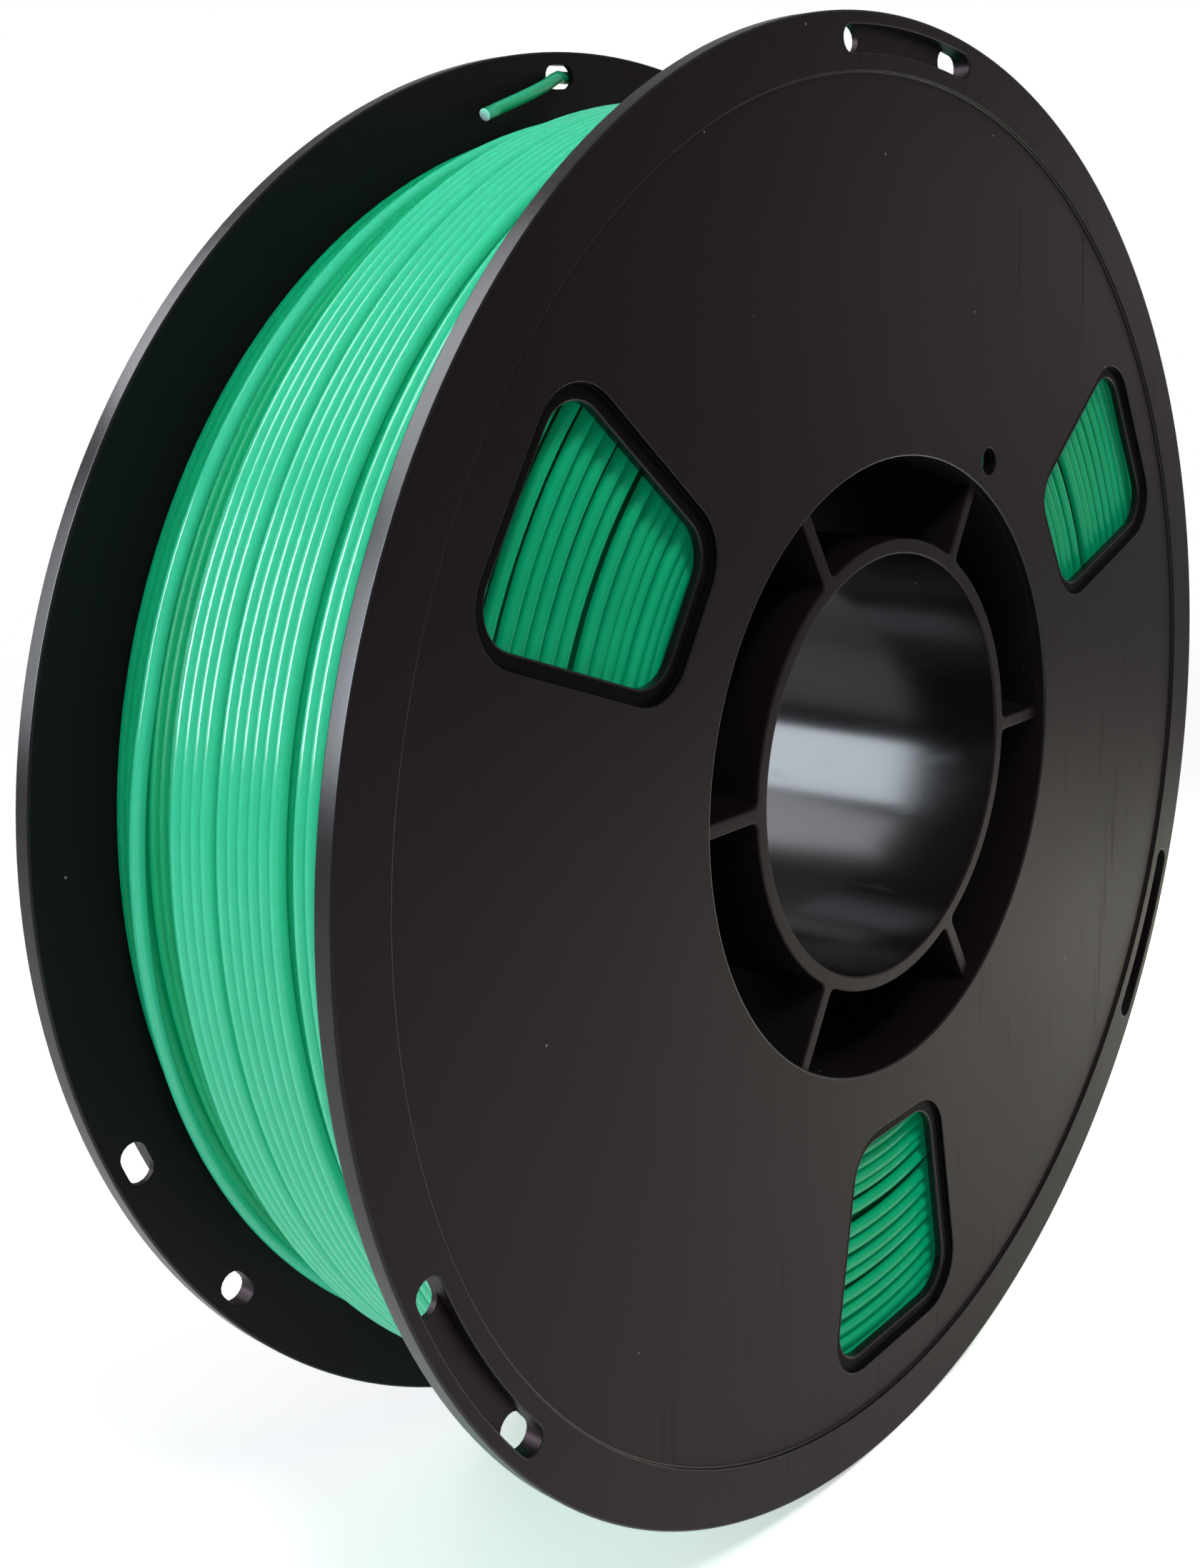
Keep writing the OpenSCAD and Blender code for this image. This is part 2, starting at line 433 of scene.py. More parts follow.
@cache
def moulded_surface_group() -> Tree:
    """The marks of a plastic moulding: fine grain, faint flow, scuffs and settled dust.

    Returns:
        A group that puts out Height, Flow, Scuff and Dust.
    """
    n, given = group_tree(
        "moulded_surface",
        {"Grain Scale": 4000.0, "Flow Scale": 18.0, "Scuff Scale": 60.0, "Dust Amount": 0.5},
        ("Height", "Flow", "Scuff", "Dust"),
    )
    where = n.add("ShaderNodeTexCoord").outputs["Object"]
    flow = n.noise(where, given["Flow Scale"], 3.0)
    stretch = {"Vector": where, "Scale": (9.0, 1.0, 0.55), "Rotation": (0.0, 0.5, 0.0)}
    stretched = n.add("ShaderNodeMapping", stretch).outputs[0]
    scuff = n.noise(stretched, given["Scuff Scale"], 2.0, 0.7)
    cells = {"Vector": where, "Scale": 210.0, "Randomness": 1.0}
    specks = n.add("ShaderNodeTexVoronoi", cells, feature="F1").outputs
    near = n.ramp(specks["Distance"], 0.045, 0.02)
    chance = n.add("ShaderNodeSeparateColor", {0: specks["Color"]}).outputs[0]
    dust = n.math("MULTIPLY", near, n.math("GREATER_THAN", chance, 0.86))
    n.add("NodeGroupOutput", {
        "Height": n.noise(where, given["Grain Scale"], 3.0, 0.6),
        "Flow": n.ramp(flow, 0.35, 0.65),
        "Scuff": n.ramp(scuff, 0.62, 0.8),
        "Dust": n.math("MULTIPLY", dust, given["Dust Amount"]),
    })
    return n.tree


@cache
def strand_variation_group() -> Tree:
    """The changes along and between strands: tone of each stretch, fine ripple and bloom.

    Returns:
        A group that puts out Tone, Ripple and Bloom.
    """
    n, given = group_tree(
        "strand_variation",
        {"Tone Scale": 40.0, "Ripple Scale": 1400.0},
        ("Tone", "Ripple", "Bloom"),
    )
    where = n.add("ShaderNodeTexCoord").outputs["Object"]
    n.add("NodeGroupOutput", {
        "Tone": n.ramp(n.noise(where, given["Tone Scale"], 2.0), 0.3, 0.7),
        "Ripple": n.noise(where, given["Ripple Scale"], 2.0),
        "Bloom": n.ramp(n.noise(where, 260.0, 3.0, 0.6), 0.55, 0.8),
    })
    return n.tree


def new_material(name: str) -> tuple[Material, Nodes, Node]:
    """A material with one Principled BSDF.

    Args:
        name: The material's name.

    Returns:
        The material, a builder for its nodes and the shader.
    """
    material = bpy.data.materials.new(name)
    material.use_nodes = True
    material.node_tree.nodes.clear()
    n = Nodes(material.node_tree)
    shader = n.add("ShaderNodeBsdfPrincipled")
    n.add("ShaderNodeOutputMaterial", {0: shader.outputs[0]})
    return material, n, shader


@dataclass(frozen=True)
class MouldedBlack:
    """Black injection-moulded plastic. Its base is near black, with a pinkish cast that, like its
    sheen tint, is painted reflection of the room's colour.
    """

    name: str
    base: Colour = (0.0055, 0.0036, 0.0046)
    flow_tint: Colour = (0.006, 0.005, 0.0052)
    dust_colour: Colour = (0.42, 0.41, 0.4)
    roughness: float = 0.4
    flow_roughness: float = 0.06
    scuff_roughness: float = 0.12
    bump: float = 0.12
    bump_depth: float = 0.0002
    grain_scale: float = 3800.0
    dust: float = 0.5
    specular: float = 0.225
    painted_sheen_tint: Colour = (1.0, 0.66, 0.77)

    def build(self) -> Material:
        """Make the material.

        Returns:
            The material.
        """
        material, n, shader = new_material(self.name)
        values = {"Grain Scale": self.grain_scale, "Dust Amount": self.dust}
        marks = n.add("ShaderNodeGroup", values, node_tree=moulded_surface_group()).outputs
        colour = n.mix(marks["Flow"], (*self.base, 1), (*self.flow_tint, 1))
        rough = n.math("MULTIPLY_ADD", marks["Flow"], self.flow_roughness, self.roughness)
        n.fill(shader, {
            "Base Color": n.mix(marks["Dust"], colour, (*self.dust_colour, 1)),
            "Roughness": n.math("MULTIPLY_ADD", marks["Scuff"], self.scuff_roughness, rough),
            "Normal": n.bump(marks["Height"], self.bump, self.bump_depth),
            "IOR": 1.5,
            "Specular IOR Level": self.specular,
            # Painted reflection: the sheen tint colours the plastic's reflections like the room
            # around it.
            "Specular Tint": (*self.painted_sheen_tint, 1),
        })
        return material


@dataclass(frozen=True)
class GreenStrand:
    """Translucent green filament, whose emission is painted glow that stands in for light passing
    through it.
    """

    name: str
    base: Colour = (0.027, 0.375, 0.228)
    deep: Colour = (0.024, 0.36, 0.212)
    roughness: float = 0.14
    bloom_roughness: float = 0.05
    subsurface: float = 1.0
    depth: float = 0.004
    bump: float = 0.004
    bump_depth: float = 0.0001
    specular: float = 0.6
    painted_glow: float = 0.43

    def build(self) -> Material:
        """Make the material.

        Returns:
            The material.
        """
        material, n, shader = new_material(self.name)
        marks = n.add("ShaderNodeGroup", node_tree=strand_variation_group()).outputs
        colour = n.mix(marks["Tone"], (*self.base, 1), (*self.deep, 1))
        rough = n.math("MULTIPLY_ADD", marks["Bloom"], self.bloom_roughness, self.roughness)
        # Painted light: the emission makes the strand glow in its own colour, standing in for light
        # that passes through the translucent filament.
        n.fill(shader, {
            "Base Color": colour,
            "Roughness": rough,
            "Normal": n.bump(marks["Ripple"], self.bump, self.bump_depth),
            "Emission Color": colour,
            "Emission Strength": self.painted_glow,
            "IOR": 1.47,
            "Specular IOR Level": self.specular,
            "Subsurface Weight": self.subsurface,
            "Subsurface Radius": (0.3, 1.0, 0.6),
            "Subsurface Scale": self.depth,
        })
        return material


@dataclass
class ViewPoint:
    """The camera. The focal length and the middle are in pixels of the image."""

    image: tuple[int, int] = (1680, 2196)
    sensor: float = 36.0
    focal: float = 2385.976
    middle: Point2 = (1080.0, 849.021)
    place: Point3 = (-196.95, -147.87, 58.08)
    right: Point3 = (0.590414, -0.807087, -0.004594)
    down: Point3 = (-0.125176, -0.085945, -0.988405)
    ahead: Point3 = (0.797334, 0.584143, -0.151771)

    def build(self) -> None:
        """Make the camera and set it as the scene's."""
        data = bpy.data.cameras.new("camera")
        wide, high = self.image
        data.sensor_width = self.sensor
        data.lens = self.focal / high * self.sensor
        data.shift_x = (wide / 2 - self.middle[0]) / high
        data.shift_y = (self.middle[1] - high / 2) / high
        data.clip_start = 0.01
        data.clip_end = 20
        data.dof.use_dof = False
        camera = linked("camera", data)
        x, y, z = Vector(self.right), -Vector(self.down), -Vector(self.ahead)
        turn = Matrix((x, y, z)).transposed().to_4x4()
        camera.matrix_world = Matrix.Translation(Vector(self.place) * MM) @ turn
        bpy.context.scene.camera = camera


@dataclass
class ParkedEnd:
    """The last length of the strand, from the winding through a clip of the back flange.

    Each point of the climb and of the hanging end has its direction from the nearer hole, its share
    of the climb from the layer to the clip's circle, and its share of the way out to the groove.
    """

    diameter: float = 1.75
    sides: int = 12
    layer_radius: float = 91.125
    layer_end: float = 62.0
    last_turn: float = 22.0
    clip_radius: float = 96.6
    clip_turn: float = 90.0
    clip_length: float = 31.2
    hole_length: float = 5.8
    groove: float = 25.625
    groove_steps: int = 5
    cut_inset: float = 0.12
    cut_depth: float = 0.06
    climb: tuple[Point3, ...] = (
        (-18, 0.03, 0), (-15.5, 0.1, 0), (-13, 0.22, 0), (-10.5, 0.38, 0), (-8, 0.56, 0),
        (-5.5, 0.75, 0), (-3.3, 0.9, 0.08), (-1.3, 0.98, 0.3), (0.1, 1, 0.64), (1.3, 1, 1),
    )
    hang: tuple[Point3, ...] = (
        (-1.3, 1, 1), (-0.1, 1, 0.64), (1.3, 0.93, 0.3), (3.1, 0.78, 0.07),
        (5.3, 0.65, -0.08), (7.5, 0.56, -0.2), (9.7, 0.5, -0.3), (11.7, 0.46, -0.38),
    )

    def point(self, p: Point3, hole: float) -> Vector:
        """A point of the route, counted from the hole at a direction."""
        radius = self.layer_radius + (self.clip_radius - self.layer_radius) * p[1]
        return polar(hole + p[0], radius, self.last_turn + (self.groove - self.last_turn) * p[2])

    def path(self) -> list[Vector]:
        """The strand's middle line.

        Returns:
            Points in metres, from the end of the winding to the cut end.
        """
        hole = math.degrees((self.clip_length - self.hole_length) / 2 / self.clip_radius)
        low, high = self.clip_turn - hole, self.clip_turn + hole
        step = polar(self.layer_end + 90, self.diameter, 0)
        path = [polar(self.layer_end, self.layer_radius, self.last_turn) + step]
        path += [self.point(p, low) for p in self.climb]
        start, end = low + self.climb[-1][0], high + self.hang[0][0]
        for i in range(1, self.groove_steps):
            at = start + (end - start) * i / self.groove_steps
            path.append(polar(at, self.clip_radius, self.groove))
        return path + [self.point(p, high) for p in self.hang]

    def build(self, material: Material, cut: Material) -> Object:
        """Args:
            material: Finish of the strand.
            cut: Finish of its cut face.

        Returns:
            The tube.
        """
        path = self.path()
        mesh = bmesh.new()
        sweep(mesh, path, self.diameter / 2 * MM, self.sides)
        mesh.faces.ensure_lookup_table()
        end = mesh.faces[-1]
        rim = bmesh.ops.inset_region(
            mesh, faces=[end], thickness=self.cut_inset * MM, depth=self.cut_depth * MM
        )
        for face in [end] + rim["faces"]:
            face.material_index = 1
        obj = new_object("parked_end", mesh, material)
        obj.data.materials.append(cut)
        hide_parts("filament_end")
        return obj


@dataclass
class Flange:
    """One moulded flange: raised rim, three clips, three windows and the start hole."""

    radius: float = 100.0
    thickness: float = 2.6
    disc: float = 2.1
    rim_inner: float = 92.7
    opening: float = 43.0
    opening_round: float = 0.35
    seat: float = 45.1
    seat_depth: float = 0.8
    bevel: float = 0.1
    inner_face: float = 23.9
    edge: float = 0.3
    fillet: float = 0.15
    step_fillet: float = 0.2
    window_corners: tuple[Point2, ...] = (
        (51.6, -11.05), (86.2, -17.3), (86.2, 17.3), (51.6, 11.05),
    )
    window_corner: float = 7.0
    window_angles: tuple[float, ...] = (30.0, 150.0, 270.0)
    border_depth: float = 0.8
    border_width: float = 1.7
    lip: float = 0.3
    lip_steps: int = 5
    clip_angles: tuple[float, ...] = (90.0, 210.0, 330.0)
    clip_radius: float = 96.6
    clip_width: float = 3.4
    clip_half: float = 8.245
    clip_hole: float = 1.424
    clip_floor: float = 0.8
    start_hole: Point2 = (60.0, 47.3)
    start_hole_radius: float = 2.0
    edge_slot: int = 1
    recess_slot: int = 2

    def place(self, side: Side) -> Place:
        """Where a point of the moulding goes, for either end of the spool."""
        s = side.value
        return lambda x, y, h: (-s * x * MM, s * (self.inner_face + h) * MM, y * MM)

    def build(self, side: Side, finishes: Sequence[Material]) -> Object:
        """Make the flange.

        Args:
            side: The end of the spool.
            finishes: Black plastic, its glossier edges and its sunk borders, which are darker and
                duller with painted shade.

        Returns:
            The flange, which stands for its CAD node.
        """
        m = Moulding(self.place(side), self.edge_slot)
        self.rim(m)
        self.hub_opening(m)
        for angle in self.window_angles:
            self.window(m, angle)
        for angle in self.clip_angles:
            self.clip(m, angle)
        self.hole(m)
        for loops in m.bounds.values():
            m.flat(loops)
        outermost = (self.radius - 0.01) * MM
        for face in m.mesh.faces:
            if all(math.hypot(v.co.x, v.co.z) > outermost for v in face.verts):
                face.material_index = self.edge_slot
        name = side.name.lower() + "_flange"
        obj = m.finish(name + "_moulding", finishes[0])
        for finish in finishes[1:]:
            obj.data.materials.append(finish)
        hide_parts(name)
        return obj

    def rim(self, m: Moulding) -> None:
        """Add the outer edge, and the step from the raised rim down to the disc.

        Args:
            m: The mesh.
        """
        e, s, f, t = self.edge, self.fillet, self.step_fillet, self.thickness
        section = round_over(e, (-e, e), 270) + round_over(e, (-e, t - e), 0)
        outside = m.wall(Circle(self.radius), section)
        section = round_over(s, (s, t - s), 90) + round_over(f, (-f, self.disc + f), 270)[::-1]
        step = m.wall(Circle(self.rim_inner), section)
        m.bounds[Flat.INNER].append(outside[0])
        m.bounds[Flat.RIM_TOP] += [outside[-1], step[0]]
        m.bounds[Flat.DISC_TOP].append(step[-1])

    def hub_opening(self, m: Moulding) -> None:
        """Add the round opening and the seat for the drum's end.

        Args:
            m: The mesh.
        """
        r, b, depth = self.opening_round, self.bevel, self.seat_depth
        outline = Circle(self.opening, steps=200)
        loops = m.wall(outline, round_over(r, (r, self.disc - r), 90) + [(0.0, depth)])
        gap = self.seat - self.opening
        seat = m.wall(outline, [(gap, depth), (gap, b), (gap + b, 0.0)])
        m.strip(loops[-1], seat[0])
        m.bounds[Flat.DISC_TOP].append(loops[0])
        m.bounds[Flat.INNER].append(seat[-1])

    def window(self, m: Moulding, angle: float) -> None:
        """Add one window with its sunk border and rounded lip.

        Args:
            m: The mesh.
            angle: Direction of the window.
        """
        f, b, w, lip = self.fillet, self.bevel, self.border_width, self.lip
        floor = self.disc - self.border_depth
        top = round_over(f, (f, self.disc - f), 90)
        foot = round_over(f, (-f, floor + f), 270)[::-1]
        inside = round_over(lip, (-w, floor - lip), 90, self.lip_steps)
        inside += [(-w - lip, b), (-w - lip + b, 0.0)]
        # The sunk border takes the recess slot, whose darker, barely reflecting finish is painted
        # shade.
        slots = [self.edge_slot] * (len(top) - 1) + [self.recess_slot] * (len(foot) + 1)
        slots += [self.edge_slot] * (len(inside) - 1)
        outline = RoundedOutline(self.window_corners, self.window_corner, angle)
        loops = m.wall(outline, top + foot + inside, slots)
        m.bounds[Flat.DISC_TOP].append(loops[0])
        m.bounds[Flat.INNER].append(loops[-1])

    def clip(self, m: Moulding, angle: float) -> None:
        """Add one clip: a curved groove with a long hole through each end.

        Args:
            m: The mesh.
            angle: Direction of the clip.
        """
        floor, half, f = self.clip_floor, self.clip_half, self.step_fillet
        width = self.clip_width / 2
        slot = ArcSlot(self.clip_radius, width, angle - half, angle + half)
        loops = m.wall(slot, round_over(f, (f, self.thickness - f), 90) + [(0.0, floor)])
        ring, n = loops[-1], slot.side_steps
        cut = max(1, round(self.clip_hole / (2 * half) * n))
        inset = half - 2 * half * cut / n
        at, at_end = math.radians(angle - inset), math.radians(angle + inset)
        back = n + slot.cap_steps
        cap_a = m.loop(slot.cap(at, at, width)[1:-1], floor)
        cap_b = m.loop(slot.cap(at_end, at_end + math.pi, width)[1:-1], floor)
        first = ring[back + n - cut:] + ring[:cut + 1] + cap_a
        last = ring[n - cut:back + cut + 1] + cap_b
        middle = ring[cut:n - cut + 1] + cap_b[::-1]
        middle += ring[back + cut:back + n - cut + 1] + cap_a[::-1]
        m.flat([middle])
        m.bounds[Flat.RIM_TOP].append(loops[0])
        for hole in (first, last):
            depth = math.copysign(self.inner_face * MM, hole[0].co.y)
            behind = [m.mesh.verts.new((v.co.x, depth, v.co.z)) for v in hole]
            m.strip(hole, behind)
            m.bounds[Flat.INNER].append(behind)

    def hole(self, m: Moulding) -> None:
        """Add the small hole for the strand's inner end.

        Args:
            m: The mesh.
        """
        f, (degrees, far) = self.fillet, self.start_hole
        angle = math.radians(degrees)
        centre = (far * math.cos(angle), far * math.sin(angle))
        outline = Circle(self.start_hole_radius, steps=28, centre=centre)
        loops = m.wall(outline, round_over(f, (f, self.disc - f), 90) + [(0.0, 0.0)])
        m.bounds[Flat.DISC_TOP].append(loops[0])
        m.bounds[Flat.INNER].append(loops[-1])


@dataclass(frozen=True)
class SpiderOutline:
    """Outside of the bore tube and its ribs, as one outline."""

    hub: "Hub"

    def points(self, offset: float) -> list[Point2]:
        """The outline, grown by offset.

        Args:
            offset: How far it lies outside the tube and the ribs' sides.

        Returns:
            Points anticlockwise, from below the first rib.
        """
        hub, out = self.hub, []
        half = hub.rib_half + offset
        across = hub.rib_half + hub.root
        along = math.sqrt((hub.tube + hub.root) ** 2 - across ** 2)
        radius = hub.root - offset
        lean = math.atan2(across, along)
        gap = math.radians(360 / len(hub.rib_angles))
        end = hub.drum_inner + hub.rib_sink
        for angle in hub.rib_angles:
            rib = arc((along, -across), radius, math.pi - lean, math.pi / 2, hub.root_steps)
            rib += [(end, -half), (end, half)]
            rib += arc((along, across), radius, -math.pi / 2, lean - math.pi, hub.root_steps)
            rib += arc((0, 0), hub.tube + offset, lean, gap - lean, hub.tube_steps)[1:-1]
            out += turned(rib, angle)
        return out


@dataclass
class Hub:
    """The drum with its ribs and bore tube."""

    bore: float = 29.5
    bore_round: float = 0.4
    tube: float = 31.7
    drum_inner: float = 43.0
    drum_outer: float = 45.0
    drum_half: float = 24.7
    drum_edge: float = 0.1
    tube_half: float = 24.5
    rib_half: float = 1.0
    rib_angles: tuple[float, ...] = (0.0, 60.0, 120.0, 180.0, 240.0, 300.0)
    rib_sink: float = 1.0
    root: float = 1.0
    root_steps: int = 5
    tube_steps: int = 26
    round_steps: int = 200
    edge: float = 0.3

    def build(self, material: Material, polished: Material) -> Object:
        """Make the hub, which stands for its CAD nodes.

        Args:
            material: Black plastic.
            polished: The glossier finish inside the bore.

        Returns:
            The hub.
        """
        m = Moulding(lambda x, y, h: (x * MM, -h * MM, y * MM))
        self.drum(m)
        self.spider(m)
        inside = (self.bore + 0.05) * MM
        for face in m.mesh.faces:
            face.material_index = int(all(math.hypot(v.co.x, v.co.z) < inside for v in face.verts))
        obj = m.finish("hub_moulding", material)
        obj.data.materials.append(polished)
        ribs = [f"hub_rib_{i + 1}" for i in range(len(self.rib_angles))]
        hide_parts("hub_drum", "bore_tube", *ribs)
        return obj

    def drum(self, m: Moulding) -> None:
        """Add the wall that the filament is wound on.

        Args:
            m: The mesh.
        """
        h, e, wall = self.drum_half, self.drum_edge, self.drum_outer - self.drum_inner
        section = [(0, h - e), (e, h), (wall - e, h), (wall, h - e)]
        section += [(offset, -height) for offset, height in reversed(section)]
        loops = m.wall(Circle(self.drum_inner, self.round_steps), section)
        m.strip(loops[-1], loops[0])

    def spider(self, m: Moulding) -> None:
        """Add the bore tube and its ribs, whose ends run into the drum's wall.

        Args:
            m: The mesh.
        """
        h, e, b = self.tube_half, self.edge, self.bore_round
        section = round_over(e, (-e, h - e), 0)[::-1] + round_over(e, (-e, e - h), 270)[::-1]
        outer = m.wall(SpiderOutline(self), section)
        section = round_over(b, (b, h - b), 90) + [(0.0, h / 2), (0.0, 0.0), (0.0, -h / 2)]
        section += round_over(b, (b, b - h), 180)
        inner = m.wall(Circle(self.bore, self.round_steps), section)
        m.flat([outer[0], inner[0]])
        m.flat([outer[-1], inner[-1]])


@dataclass
class Winding:
    """The wound strand: an uneven outer layer, the layer under it and the ends of the inner ones.

    Each row of a layer has its place along the axis at the seam's direction, and how far it lies
    below the outer layer.
    """

    diameter: float = 1.75
    drum: float = 45.0
    outer: float = 91.125
    half_width: float = 23.7
    row_limit: float = 22.85
    sides: int = 14
    rings_per_turn: int = 216
    seam: float = 168.0
    join_rings: int = 4
    wander: float = 0.02
    wander_pace: float = 0.73
    steady_share: float = 0.25
    seed: int = 11
    top_rows: tuple[Point2, ...] = (
        (-22.8, 0), (-21.0, 0), (-19.2, 0), (-17.4, 0), (-15.6, 0), (-13.0, 0), (-11.2, 0),
        (-7.35, 0), (-5.6, 0), (-3.85, 0), (-2.1, 0), (-0.35, 0), (1.4, 0), (4.2, 0),
        (5.95, 0), (7.7, 0), (9.45, 0), (10.75, 1.17), (17.9, 1.1),
    )
    last_leg: tuple[Point3, ...] = ((187.0, 19.6, 1.1), (215.0, 21.7, 1.0), (62.0, 22.0, 0.0))
    under_rows: tuple[Point2, ...] = (
        (-21.9, 1.5), (-20.1, 1.5), (-18.3, 1.5), (-16.5, 1.5), (-14.3, 1.2), (-12.1, 1.5),
        (-10.0, 1.3), (-8.25, 1.3), (-6.5, 1.5), (-4.75, 1.5), (-3.0, 1.5), (-1.2, 1.5),
        (0.55, 1.5), (2.8, 1.1), (5.1, 1.5), (6.85, 1.5), (8.6, 1.5), (10.4, 2.8), (12.4, 1.75),
        (14.15, 1.85), (15.9, 1.95), (17.65, 2.8), (19.5, 2.1), (21.3, 2.2), (22.85, 2.3),
    )
    under_leg: tuple[Point3, ...] = ((250.0, 22.85, 2.3),)
    body_half: float = 20.9
    body_below: float = 3.9
    body_ribs: int = 20
    body_rib_half: float = 0.45
    body_rib_height: float = 0.5
    body_margin: float = 0.6
    body_play: float = 0.02
    side_first: float = 0.95
    side_below: float = 3.6
    side_steps: int = 160
    side_depths: Point2 = (0.4, 1.1)
    side_waves: Point2 = (0.1, 0.3)
    side_ripple: float = 0.15
    side_sway: float = 0.12
    side_pitches: tuple[float, ...] = (1.85, 2.0, 2.2, 2.5)
    side_gap: tuple[int, float] = (9, 3.4)

    def nestled(self) -> list[Point2]:
        """The under rows, each pushed down until it clears the outer strands beside it.

        Returns:
            Place and drop of each row.
        """
        rows = []
        for y, drop in self.under_rows:
            for other, height in self.top_rows:
                room = self.diameter ** 2 - (y - other) ** 2
                if room > 0:
                    drop = max(drop, height + math.sqrt(room))
            rows.append((y, drop))
        return rows

    def row_path(self, rows: Sequence[Point2], leg: Sequence[Point3]) -> list[Vector]:
        """One continuous strand through a list of rows.

        Args:
            rows: Place and drop of each turn at the seam's direction.
            leg: Direction, place and drop along the last turn, up to its end.

        Returns:
            Points in metres.
        """
        rng = random.Random(self.seed)
        phases = [rng.uniform(0, TAU) for _ in range(3)]
        knots = [(self.seam + 360 * i, *row) for i, row in enumerate(rows)]
        turn = 360 * (len(rows) - 1)
        for angle, *row in leg:
            knots.append((angle + turn + (360 if angle < self.seam else 0), *row))
        end = knots[-1][0]
        first = leg[-1][0] - 360 + 1e-6
        while first + 360 <= knots[0][0]:
            first += 360
        path: list[Vector] = []
        count = math.ceil((end - first) / (360 / self.rings_per_turn))
        for i in range(count + 1):
            a = first + (end - first) * i / count
            y, drop = self.between(knots, a)
            for k, phase in enumerate(phases, 1):
                swing = math.sin(math.radians(a) * k * self.wander_pace + phase)
                y += swing * self.wander / len(phases)
            limit = self.row_limit
            path.append(polar(a, self.outer - drop, max(-limit, min(limit, y))))
        return path

    def between(self, knots: Sequence[Point3], a: float) -> Point2:
        """Steady at first in each turn, then a smooth step to the next row.

        Args:
            knots: Direction, place and drop along the strand.
            a: A direction, counted on through the turns.

        Returns:
            Place and drop.
        """
        if a <= knots[0][0]:
            return knots[0][1:]
        for (a0, *low), (a1, *high) in zip(knots, knots[1:]):
            if a <= a1:
                t = (a - a0) / (a1 - a0)
                if a1 - a0 >= 360:
                    t = max(0.0, (t - self.steady_share) / (1 - self.steady_share))
                    t = t * t * (3 - 2 * t)
                return tuple(p + (q - p) * t for p, q in zip(low, high))
        return knots[-1][1:]

    def build(self, finishes: Sequence[Material]) -> list[Object]:
        """Make the winding.

        Args:
            finishes: For the outer strands, those between them, the sides and what lies behind.
                Those between and behind are darker copies with painted shade.

        Returns:
            The pieces.
        """
        strand, under, inner, deep = finishes
        pieces = [self.top_layer(strand), self.under_layer(under), self.body(deep)]
        return pieces + [self.side_rings(side, inner) for side in Side]

    def top_layer(self, material: Material) -> Object:
        """The outer layer, which ends where the parked end begins.

        Args:
            material: Its finish.

        Returns:
            The layer.
        """
        path = self.row_path(self.top_rows, self.last_leg)[:-self.join_rings]
        angle, place, drop = self.last_leg[-1]
        path.append(polar(angle, self.outer - drop, place))
        path.append(path[-1] + polar(angle + 90, self.diameter, 0))
        mesh = bmesh.new()
        sweep(mesh, path, self.diameter / 2 * MM, self.sides)
        obj = new_object("winding_top", mesh, material)
        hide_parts("filament_layer")
        return obj

    def under_layer(self, material: Material) -> Object:
        """The layer that shows between the rows of the outer one.

        Args:
            material: Its finish.

        Returns:
            The layer.
        """
        mesh = bmesh.new()
        path = self.row_path(self.nestled(), self.under_leg)
        sweep(mesh, path, self.diameter / 2 * MM, self.sides)
        obj = new_object("winding_under", mesh, material)
        return obj

    def body(self, material: Material) -> Object:
        """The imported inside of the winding, ribbed like the strands in it.

        Args:
            material: Its finish.

        Returns:
            The body.
        """
        m = Moulding(lambda x, y, h: (x * MM, -h * MM, y * MM))
        y, low, high = self.body_half, self.drum, self.outer - self.body_below
        half, height, edge = self.body_rib_half, self.body_rib_height, self.body_margin
        ribs: list[Point2] = []
        for i in range(self.body_ribs):
            r = low + edge + (high - low - 2 * edge) * (i + 0.5) / self.body_ribs
            ribs += [(r - 2 * half, y - height), (r - half, y), (r + half, y)]
        face = [(low + self.body_play, y), *ribs, (high, y - height)]
        section = face + [(r, -depth) for r, depth in reversed(face)]
        loops = m.wall(Circle(0.0, steps=120), section)
        m.strip(loops[-1], loops[0])
        bmesh.ops.recalc_face_normals(m.mesh, faces=m.mesh.faces)
        # Its finish is painted shade: a near-black green, so the gaps between the side turns look
        # shaded.
        obj = new_object("winding_body", m.mesh, material)
        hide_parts("filament_core")
        return obj

    def side_rings(self, side: Side, material: Material) -> Object:
        """The outermost turn of each inner layer, seen through the windows.

        Args:
            side: The end of the spool.
            material: Its finish.

        Returns:
            The turns, as one piece.
        """
        rng = random.Random(self.seed + side.value)
        mesh = bmesh.new()
        radius, count = self.drum + self.side_first, 0
        while radius < self.outer - self.side_below:
            depth = rng.uniform(*self.side_depths)
            phases = [rng.uniform(0, TAU) for _ in range(4)]
            amount = rng.uniform(*self.side_waves)
            path = []
            for k in range(self.side_steps):
                a = TAU * k / self.side_steps
                y = self.half_width - self.diameter / 2 - depth
                y -= amount * (1 + math.sin(a + phases[0])) / 2
                y -= self.side_ripple * (1 + math.sin(3 * a + phases[1])) / 2
                r = radius + self.side_sway * math.sin(2 * a + phases[2])
                path.append(polar(math.degrees(a), r, side.value * y))
            sweep(mesh, path, self.diameter / 2 * MM, self.sides, closed=True)
            gap_at, gap = self.side_gap
            radius += gap if count == gap_at else rng.choice(self.side_pitches)
            count += 1
        obj = new_object("winding_side_" + side.name.lower(), mesh, material)
        return obj


